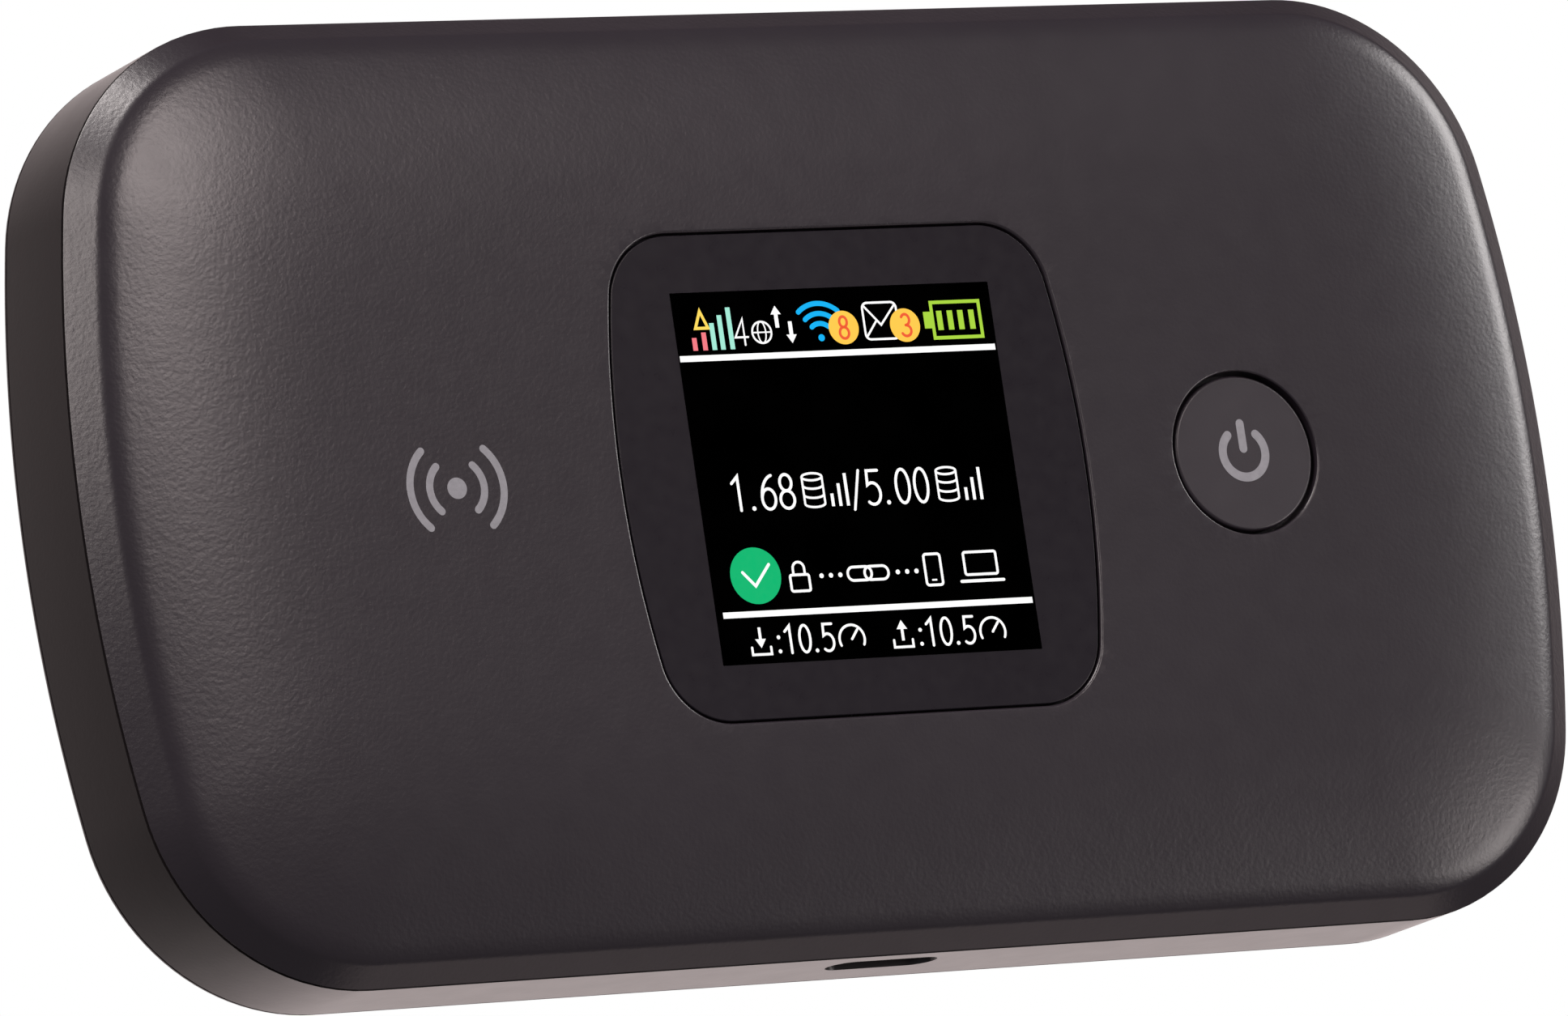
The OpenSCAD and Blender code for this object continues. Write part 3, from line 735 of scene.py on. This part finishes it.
class Print:
    """Flat shapes of one colour, a little proud of the surface under them."""

    def __init__(self, low, high):
        self.bm = bmesh.new()
        self.low = low
        self.high = high

    def shape(self, outline):
        prism(self.bm, outline, self.low, self.high)

    def rect(self, x0, y0, x1, y1):
        self.shape([(x0, y0), (x1, y0), (x1, y1), (x0, y1)])

    def disc(self, x, y, radius):
        self.shape(circle(x, y, radius, 40))

    def stroke(self, points, width):
        """A stroke with round ends."""
        left, right = ribbon(points, width)
        self.shape(left + round_end(points[-1], left[-1]) + right[::-1] + round_end(points[0], right[0]))

    def loop(self, points, width):
        """A closed stroke."""
        left, right = ribbon(points, width, True)
        rings = [(left, self.low), (left, self.high), (right, self.high), (right, self.low),
                 (left, self.low)]
        loft(self.bm, [at_height(ring, z) for ring, z in rings])

    def arrow(self, x, y0, y1, head, shaft):
        """An arrow from y0 to its point at y1."""
        way = 1 if y1 > y0 else -1
        neck = y1 - way * head * 0.75
        self.shape([(x - shaft / 2, y0), (x + shaft / 2, y0), (x + shaft / 2, neck), (x + head / 2, neck),
                    (x, y1), (x - head / 2, neck), (x - shaft / 2, neck)][::way])

    def digit(self, sign, x, y, height, width):
        """A digit or mark of a given height, its lower left corner at x and y. Returns its advance."""
        strokes, advance = GLYPHS[sign]
        for points, closed in strokes:
            placed = [(x + px * height, y + py * height) for px, py in points]
            if closed:
                self.loop(placed, width)
            elif len(placed) == 1:
                self.disc(placed[0][0], placed[0][1], width * 0.75)
            else:
                self.stroke(placed, width)
        return advance * height

    def number(self, text, x, y, height, width):
        """A row of digits and marks. Returns the place after the last."""
        for sign in text:
            x += self.digit(sign, x, y, height, width)
        return x


def oval(x, y, rx, ry, start=0, end=360, steps=28):
    """Points on an upright ellipse; a whole one doesn't repeat its first point."""
    points = [(x + rx * math.cos(math.radians(a)), y + ry * math.sin(math.radians(a)))
              for a in spread(start, end, steps)]
    return points[:-1] if abs(end - start) == 360 else points


# Strokes of each sign on a height of 1, each closed or open, and how far on the next sign starts
GLYPHS = {
    "0": ([(oval(0.27, 0.5, 0.22, 0.5), True)], 0.62),
    "1": ([([(0.06, 0.8), (0.27, 1.0), (0.27, 0.0)], False)], 0.60),
    "3": ([(oval(0.24, 0.75, 0.21, 0.25, 150, -90, 16), False),
           (oval(0.24, 0.25, 0.25, 0.25, 90, -150, 16), False)], 0.62),
    "4": ([([(0.42, 0.0), (0.42, 1.0), (0.03, 0.3), (0.58, 0.3)], False)], 0.66),
    "5": ([([(0.46, 1.0), (0.10, 1.0), (0.08, 0.58)] + oval(0.23, 0.32, 0.25, 0.32, 110, -130, 16),
            False)], 0.62),
    "6": ([(oval(0.27, 0.30, 0.22, 0.30), True),
           (oval(0.50, 0.30, 0.45, 0.70, 100, 180, 10), False)], 0.62),
    "8": ([(oval(0.26, 0.76, 0.19, 0.24), True), (oval(0.26, 0.26, 0.23, 0.26), True)], 0.62),
    ".": ([([(0.10, 0.04)], False)], 0.36),
    ":": ([([(0.10, 0.08)], False), ([(0.10, 0.60)], False)], 0.32),
}


# Left edges and heights of the signal bars
BARS = [(-11.5, 0.91), (-10.71, 1.27), (-9.98, 1.91), (-9.30, 2.45), (-8.55, 2.98)]


def signal_bars(ink, bars):
    foot = 8.93
    width = 0.37
    for x, height in bars:
        ink.rect(x, foot, x + width, foot + height)


def draw_red(ink):
    """The two shortest signal bars."""
    signal_bars(ink, BARS[:2])


def draw_mint(ink):
    """The other signal bars."""
    signal_bars(ink, BARS[2:])


def draw_yellow(ink):
    """The triangle beside the signal bars."""
    ink.loop([(-11.1, 10.5), (-10.1, 10.5), (-10.6, 11.7)], 0.22)


def draw_blue(ink):
    """The wireless fan."""
    x, y = -1.21, 9.5
    for radius in (1.02, 1.73, 2.45):
        ink.stroke(arc(x, y, radius, 130, 50, 16), 0.36)
    ink.disc(x, y, 0.25)


def draw_amber(ink):
    """The discs of the two badges."""
    for x in (0.66, 5.6):
        ink.disc(x, 10.16, 1.2)


def draw_badge_digits(ink):
    for sign, x in (("8", 0.26), ("3", 5.28)):
        ink.digit(sign, x, 9.38, 1.56, 0.2)


def draw_lime(ink):
    """The battery: its case, its pole on the left and four bars of charge."""
    left, bottom, right, top = 7.88, 9.16, 11.74, 11.70
    ink.loop([(left, bottom), (right, bottom), (right, top), (left, top)], 0.25)
    ink.rect(7.18, 9.86, 7.76, 11.05)
    for x in (8.46, 9.32, 10.16, 11.05):
        ink.rect(x - 0.22, 9.71, x + 0.22, 11.09)


def draw_green(ink):
    """The disc behind the tick."""
    ink.disc(-9.2, -7.07, 2.0)


def drum(ink, x, y):
    """A storage drum of three layers."""
    rx, ry = 0.8, 0.25
    foot, lid = y + ry, y + 2.15
    line = 0.16
    for level in (0.25, 0.9, 1.55):
        ink.stroke(oval(x + rx, y + level, rx, ry, 180, 360, 12), line)
    ink.loop(oval(x + rx, lid, rx, ry, steps=24), line)
    for side in (x, x + 2 * rx):
        ink.stroke([(side, foot), (side, lid)], line)


def columns(ink, x, y):
    """Three columns of growing height."""
    for i in range(3):
        ink.rect(x + 0.6 * i, y, x + 0.6 * i + 0.24, y + 0.9 + 0.7 * i)


def gauge(ink, x, y):
    """A speed gauge with its needle."""
    hub_x, hub_y = x + 1.0, y + 0.75
    ink.stroke(arc(hub_x, hub_y, 1.0, 205, -25, 24), 0.18)
    ink.stroke([(hub_x, hub_y), (x + 1.5, y + 1.4)], 0.18)


def tray_arrow(ink, x, y, down):
    """An arrow over a tray: data coming down or going up."""
    start, end = (y + 1.9, y + 0.45) if down else (y + 0.45, y + 1.9)
    ink.arrow(x + 0.75, start, end, 0.85, 0.22)
    ink.stroke([(x, y + 0.5), (x, y), (x + 1.5, y), (x + 1.5, y + 0.5)], 0.18)


def padlock(ink, x, y):
    ink.loop(rounded_rect((x, y), (x + 1.5, y + 1.15), 0.15, 3), 0.19)
    bow = arc(x + 0.75, y + 1.6, 0.45, 180, 0, 10)
    ink.stroke([(x + 0.3, y + 1.2)] + bow + [(x + 1.2, y + 1.2)], 0.18)


def chain_link(ink, x, y):
    for shift in (0, 1.35):
        ink.loop(rounded_rect((x + shift, y + 0.55), (x + shift + 1.9, y + 1.5), 0.45, 6), 0.19)


def handset(ink, x, y):
    ink.loop(rounded_rect((x, y), (x + 1.3, y + 2.2), 0.2, 4), 0.19)
    ink.rect(x + 0.45, y + 0.3, x + 0.85, y + 0.42)


def laptop(ink, x, y):
    ink.loop(rounded_rect((x + 0.4, y + 0.6), (x + 3.0, y + 2.2), 0.15, 3), 0.19)
    ink.stroke([(x, y + 0.15), (x + 3.4, y + 0.15)], 0.22)


def globe(ink, x, y, radius):
    """A network globe: a ring, a meridian and the equator."""
    ink.loop(circle(x, y, radius, 32), 0.14)
    ink.loop(oval(x, y, radius * 0.42, radius, steps=24), 0.10)
    ink.stroke([(x - radius, y), (x + radius, y)], 0.10)


def three_dots(ink, x, y):
    for i in range(3):
        ink.disc(x + 0.75 * i, y, 0.17)


def draw_status_bar(ink):
    """The white signs in the top row, over a rule: a digit, a globe, two arrows and an envelope."""
    ink.rect(-12.66, 8.16, 12.6, 8.59)
    ink.digit("4", -8.1, 9.2, 1.85, 0.14)
    globe(ink, -5.9, 10.05, 0.76)
    ink.arrow(-4.6, 10.34, 11.9, 0.82, 0.3)
    ink.arrow(-3.57, 10.75, 9.2, 0.82, 0.3)
    ink.loop(rounded_rect((2.35, 9.24), (5.06, 11.85), 0.4, 5), 0.16)
    ink.stroke([(2.5, 11.6), (3.7, 10.25), (4.9, 11.6)], 0.15)
    ink.stroke([(2.5, 9.5), (3.35, 10.55)], 0.15)


def draw_data_row(ink):
    """How much has been used, of how much."""
    y = -2.45
    for text, x, drum_x, columns_x in (("1.68", -10.2, -4.45, -2.35), ("5.00", 0.5, 6.3, 8.4)):
        ink.number(text, x, y, 2.4, 0.21)
        drum(ink, drum_x, y)
        columns(ink, columns_x, y)
    ink.stroke([(-0.55, -2.75), (0.1, 0.0)], 0.2)


def draw_message_row(ink):
    """A tick in the green disc, and pictograms of a protected link between two devices."""
    ink.stroke([(-10.2, -6.8), (-9.3, -7.79), (-8.05, -6.32)], 0.22)
    padlock(ink, -6.5, -8.3)
    three_dots(ink, -4.0, -7.3)
    chain_link(ink, -1.9, -8.3)
    three_dots(ink, 2.1, -7.3)
    handset(ink, 4.3, -8.35)
    laptop(ink, 7.1, -8.35)


def draw_speed_row(ink):
    """Download and upload speeds, under a rule."""
    y = -12.6
    ink.rect(-12.2, -9.97, 12.55, -9.54)
    for x, down in ((-10.3, True), (1.0, False)):
        tray_arrow(ink, x, y, down)
        end = ink.number(":10.5", x + 2.0, y, 1.9, 0.19)
        gauge(ink, end + 0.2, y)


def draw_white(ink):
    draw_status_bar(ink)
    draw_data_row(ink)
    draw_message_row(ink)
    draw_speed_row(ink)


# The display's colours from 0 to 255, and how many layers thick the signs of each are
UI_COLORS = [
    ("screen_red", draw_red, (240, 120, 130), 1),
    ("screen_mint", draw_mint, (160, 230, 210), 1),
    ("screen_yellow", draw_yellow, (250, 215, 90), 1),
    ("screen_blue", draw_blue, (0, 175, 240), 1),
    ("screen_amber", draw_amber, (255, 200, 75), 2.5),
    ("screen_lime", draw_lime, (165, 210, 60), 1),
    ("screen_green", draw_green, (0, 180, 110), 1),
    ("screen_orange_digits", draw_badge_digits, (235, 90, 50), 3),
    ("screen_white", draw_white, (255, 255, 255), 2),
]


def screen_signs():
    """The signs on the display, one piece for each colour, thicker where one lies over another."""
    sunk = 0.005
    low = LENS_HIGH.z + PRINT_T
    for name, draw, color, layers in UI_COLORS:
        ink = Print(low - sunk, low + SIGN_T * layers)
        draw(ink)
        piece(ink.bm, name, glowing(name, linear(*color)), "housing")


# ---------- power button ----------

def power_button():
    """The cap with the flange that holds it under the cover, and a round edge to its face."""
    bm = bmesh.new()
    flange_top = CAP_LOW.z + FLANGE_T
    face = CAP_HIGH.z - FACE_DROP
    profile = [(FLANGE_R, CAP_LOW.z), (FLANGE_R, flange_top), (CAP_R, flange_top)]
    profile += [(CAP_R - inset, face - down) for inset, down in quarter_round(CAP_FILLET, CAP_FILLET)]
    lathe(bm, profile, BUTTON_X, 0)
    made = piece(bm, "power_button_cap", LOOKS["button_plastic"], "button")
    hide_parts("power_button")


def power_symbol():
    """The power sign: a ring with a gap of 82 degrees, and a bar in the gap."""
    ring_r = 1.745
    stroke = 0.65
    ink = Print(CAP_HIGH.z - 0.04, CAP_HIGH.z - FACE_DROP / 2)
    ink.stroke(arc(BUTTON_X, 0, ring_r, 131, 409, 48), stroke)
    ink.stroke([(BUTTON_X, 0.33), (BUTTON_X, 2.13)], stroke)
    made = piece(ink.bm, "power_symbol", LOOKS["icon_ink"], "button")
    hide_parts("power_icon")


def radio_mark():
    """A generic radio mark printed on the dome: a dot with waves on both sides."""
    x, y = -31.5, 0
    sunk = 0.03
    proud = 0.008
    ink = Print(lambda px, py: dome_height(px, py) - sunk, lambda px, py: dome_height(px, py) + proud)
    ink.disc(x, y, 0.75)
    for radius in (2.1, 3.6):
        for middle in (0, 180):
            ink.stroke(arc(x, y, radius, middle + 48, middle - 48, 20), 0.55)
    piece(ink.bm, "radio_mark", LOOKS["icon_ink"], "housing")


# ---------- back cover and housing ----------

def hook_places():
    """Places of the back cover's hooks, and whether each runs along X."""
    side_inset, end_inset = 3.1, 3.6
    corners = [(sx, sy) for sx in (-1, 1) for sy in (-1, 1)]
    along_sides = [(sx * 20, sy * (HALF_H - side_inset), True) for sx, sy in corners]
    return along_sides + [(sx * (HALF_W - end_inset), sy * 12, False) for sx, sy in corners]


def cut(target, cutter_bm):
    """Takes a solid out of a piece."""
    mesh = bpy.data.meshes.new("cutter")
    cutter_bm.to_mesh(mesh)
    cutter_bm.free()
    cutter = bpy.data.objects.new("cutter", mesh)
    bpy.context.scene.collection.objects.link(cutter)
    target.modifiers.clear()
    boolean = target.modifiers.new("Cut", "BOOLEAN")
    boolean.object = cutter
    boolean.solver = "EXACT"
    graph = bpy.context.evaluated_depsgraph_get()
    cut_mesh = bpy.data.meshes.new_from_object(target.evaluated_get(graph))
    target.modifiers.clear()
    target.data = cut_mesh
    cut_mesh.set_sharp_from_angle(angle=math.radians(SHARP_ANGLE))
    weighted_normals(target)
    bpy.data.objects.remove(cutter)


def back_cover():
    """The plate with its round edge and a thumb notch in its right end."""
    bm = bmesh.new()
    quarter = quarter_round(BACK_T, BACK_FILLET, 10)
    loft(bm, [at_height(body_outline(inset), z) for z, inset in quarter], True, True)
    made = piece(bm, "back_cover_shell", LOOKS["back_plastic"], "rear_cover")
    notch = bmesh.new()
    prism(notch, circle(NOTCH_X, 0, NOTCH_R), BACK_T - 0.55, BACK_T + 0.45)
    cut(made, notch)
    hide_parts("back_cover")


def back_cover_hooks():
    bm = bmesh.new()
    for x, y, along in hook_places():
        half_x, half_y = (HOOK_HALF_W, HOOK_HALF_T) if along else (HOOK_HALF_T, HOOK_HALF_W)
        outline = rounded_rect((x - half_x, y - half_y), (x + half_x, y + half_y), 0.2, 3)
        prism(bm, outline, BACK_T - 0.1, BACK_HIGH.z)
    piece(bm, "back_cover_hooks", LOOKS["back_plastic"], "rear_cover")


def battery_marks():
    """Print on the battery's label: a frame, a cell with its charge, plain bars, and the two poles."""
    low, high = LABEL_LOW, LABEL_HIGH
    margin = 2
    ink = Print(low.z - PRINT_T, low.z + 0.03)
    border = rounded_rect((low.x + margin, low.y + margin), (high.x - margin, high.y - margin), 2, 8)
    ink.loop(border, 0.35)
    x, y = low.x + 7, high.y - 11
    ink.loop(rounded_rect((x, y), (x + 10, y + 5), 0.8, 6), 0.5)
    ink.rect(x + 10.5, y + 1.5, x + 11.3, y + 3.5)
    for i in range(3):
        ink.rect(x + 1.3 + 2.7 * i, y + 1.2, x + 3.2 + 2.7 * i, y + 3.8)
    for i, length in enumerate((34, 28, 31)):
        ink.rect(x, y - 6 - 3 * i, x + length, y - 5.4 - 3 * i)
    plus_x, minus_x, pole_y = low.x + 6, low.x + 12, low.y + 7
    long, short = 1.4, 0.25
    for x, across, up in ((plus_x, long, short), (plus_x, short, long), (minus_x, long, short)):
        ink.rect(x - across, pole_y - up, x + across, pole_y + up)
    piece(ink.bm, "battery_marks", label_print(), "battery")


def soften(node, width):
    """Breaks the sharp edges of a CAD node that keeps its shape, slivers between them welded first."""
    sliver = 0.008
    edge_angle = 50
    obj = frame["nodes"][node]
    weld = obj.modifiers.new("Weld", "WELD")
    weld.merge_threshold = sliver * MM
    bevel = obj.modifiers.new("Edges", "BEVEL")
    bevel.width = width * MM
    bevel.segments = 2
    bevel.limit_method = "ANGLE"
    bevel.angle_limit = math.radians(edge_angle)
    bevel.harden_normals = True
    normals = obj.modifiers.new("Normals", "WEIGHTED_NORMAL")
    normals.weight = 100


# ---------- scene ----------

# The camera: the point it looks at, its distance from there, its direction and roll in degrees
CAMERA_TARGET = Vector((-4.4, -1.8, 10.0)) * MM
CAMERA_DISTANCE = 886.8 * MM
CAMERA_AZIMUTH = -71.1
CAMERA_ELEVATION = 58.42
CAMERA_ROLL = 65.4
LENS_LENGTH = 293.8

# The floor lies below the lowest reach of the battery cover
FLOOR_Z = -32
FLOOR_HALF = 3000

# The painted pool of light glowing on the floor, and its glow strengths inside and outside it
POOL_CENTRE = (45, 0, FLOOR_Z)
POOL_EDGE = (88, 126)
POOL_BRIGHT = 1.35
POOL_DIM = 0.07

# Distance of the lights from the object, in metres
LIGHT_DISTANCE = 0.75


def direction(azimuth, elevation):
    """Unit vector from the object to a place, azimuth 0 in front of it and 90 on its right."""
    a = math.radians(azimuth)
    e = math.radians(elevation)
    return Vector((math.sin(a) * math.cos(e), -math.cos(a) * math.cos(e), math.sin(e)))


def add_camera():
    data = bpy.data.cameras.new("camera")
    data.sensor_width = 36
    data.lens = LENS_LENGTH
    data.clip_start = 0.05
    data.clip_end = 20
    camera = bpy.data.objects.new("camera", data)
    bpy.context.scene.collection.objects.link(camera)
    back = direction(CAMERA_AZIMUTH, CAMERA_ELEVATION)
    roll = Matrix.Rotation(math.radians(CAMERA_ROLL), 3, "Z")
    turn = (-back).to_track_quat("-Z", "Y").to_matrix() @ roll
    camera.matrix_world = Matrix.Translation(CAMERA_TARGET + back * CAMERA_DISTANCE) @ turn.to_4x4()
    bpy.context.scene.camera = camera


def add_softbox(name, way, size, radiance, color):
    """A rectangular light in a direction from the object, facing it, its size in metres."""
    data = bpy.data.lights.new(name, "AREA")
    data.shape = "RECTANGLE"
    data.size = size[0]
    data.size_y = size[1]
    data.energy = radiance * math.pi * size[0] * size[1]
    data.color = color
    light = bpy.data.objects.new(name, data)
    bpy.context.scene.collection.objects.link(light)
    way = Vector(way).normalized()
    light.rotation_euler = (-way).to_track_quat("-Z", "Y").to_euler()
    light.location = way * LIGHT_DISTANCE
    light.visible_camera = False


def add_world():
    """White where the camera sees it; for the object, an even and dim studio."""
    world = bpy.data.worlds.new("studio")
    world.use_nodes = True
    bpy.context.scene.world = world
    tree = world.node_tree
    shade = tree.nodes["Background"]
    shade.inputs["Color"].default_value = (0.98, 0.93, 1, 1)
    shade.inputs["Strength"].default_value = 0.2
    seen = tree.nodes.new("ShaderNodeBackground")
    seen.inputs["Color"].default_value = (1, 1, 1, 1)
    seen.inputs["Strength"].default_value = 1.05
    path = tree.nodes.new("ShaderNodeLightPath")
    mix = tree.nodes.new("ShaderNodeMixShader")
    tree.links.new(path.outputs["Is Camera Ray"], mix.inputs["Fac"])
    tree.links.new(shade.outputs["Background"], mix.inputs[1])
    tree.links.new(seen.outputs["Background"], mix.inputs[2])
    tree.links.new(mix.outputs["Shader"], tree.nodes["World Output"].inputs["Surface"])


def floor_paper():
    """White paper where it is seen; for the object, a dim glow with a painted pool of light in it. Clear
    from below.
    """
    look = Look("floor_paper", 0.9, specular=0.1)
    look.color(look.noise(40, 2), (0.84, 0.84, 0.84, 1), (0.86, 0.86, 0.86, 1))
    tree = look.tree
    pool = tree.nodes.new("ShaderNodeVectorMath")
    pool.operation = "DISTANCE"
    pool.inputs[1].default_value = Vector(POOL_CENTRE) * MM
    look.link(look.where, pool.inputs[0])
    near, far = [edge * MM for edge in POOL_EDGE]
    strength = look.ranged(pool.outputs["Value"], POOL_BRIGHT, POOL_DIM, near, far)
    # Painted light: the floor glows with a pinkish pool of light that only the object's rays see, in
    # place of lamplight falling on it
    painted_pool_glow = tree.nodes.new("ShaderNodeEmission")
    painted_pool_glow.inputs["Color"].default_value = (1, 0.86, 0.85, 1)
    look.link(strength, painted_pool_glow.inputs["Strength"])
    paper = tree.nodes.new("ShaderNodeEmission")
    path = tree.nodes.new("ShaderNodeLightPath")
    side = tree.nodes.new("ShaderNodeNewGeometry")
    clear = tree.nodes.new("ShaderNodeBsdfTransparent")
    seen = tree.nodes.new("ShaderNodeMixShader")
    mix = tree.nodes.new("ShaderNodeMixShader")
    look.link(path.outputs["Is Camera Ray"], seen.inputs["Fac"])
    look.link(painted_pool_glow.outputs["Emission"], seen.inputs[1])
    look.link(paper.outputs["Emission"], seen.inputs[2])
    look.link(side.outputs["Backfacing"], mix.inputs["Fac"])
    look.link(seen.outputs["Shader"], mix.inputs[1])
    look.link(clear.outputs["BSDF"], mix.inputs[2])
    look.link(mix.outputs["Shader"], tree.nodes["Material Output"].inputs["Surface"])
    return look.material


def add_floor():
    """A pale round-cornered floor."""
    bm = bmesh.new()
    outline = rounded_rect((-FLOOR_HALF, -FLOOR_HALF), (FLOOR_HALF, FLOOR_HALF), 400, 16)
    bm.faces.new(add_loop(bm, at_height(outline, FLOOR_Z)))
    mesh = bpy.data.meshes.new("floor")
    bm.to_mesh(mesh)
    bm.free()
    floor = bpy.data.objects.new("floor", mesh)
    bpy.context.scene.collection.objects.link(floor)
    mesh.materials.append(floor_paper())


def add_lights():
    """Six softboxes: their directions, sizes in metres, strengths and colours."""
    add_softbox("overhead_light", (0.14, 0.38, 0.915), (0.20, 0.23), 12.3, (1, 0.88, 0.86))
    add_softbox("right_high_light", (0.79, -0.20, 0.59), (0.23, 0.27), 6.6, (1, 0.92, 0.90))
    add_softbox("flank_light", (0.89, 0.32, 0.34), (0.30, 0.24), 12.5, (1, 0.96, 0.95))
    add_softbox("left_light", (-0.76, 0.42, 0.50), (0.35, 0.22), 9.2, (1, 0.90, 0.87))
    add_softbox("corner_light", (-0.44, 0.87, 0.20), (0.34, 0.18), 28, (1, 0.93, 0.91))
    add_softbox("front_light", (0.45, -0.88, 0.14), (0.45, 0.25), 0.8, (1, 0.82, 0.80))


def build():
    dress_nodes()
    front_cover()
    display_lens()
    screen_window()
    screen_signs()
    power_button()
    power_symbol()
    radio_mark()
    back_cover()
    back_cover_hooks()
    battery_marks()
    soften("rear_housing", 0.1)
    add_camera()
    add_world()
    add_floor()
    add_lights()
    bpy.context.scene.view_settings.view_transform = "Standard"


build()
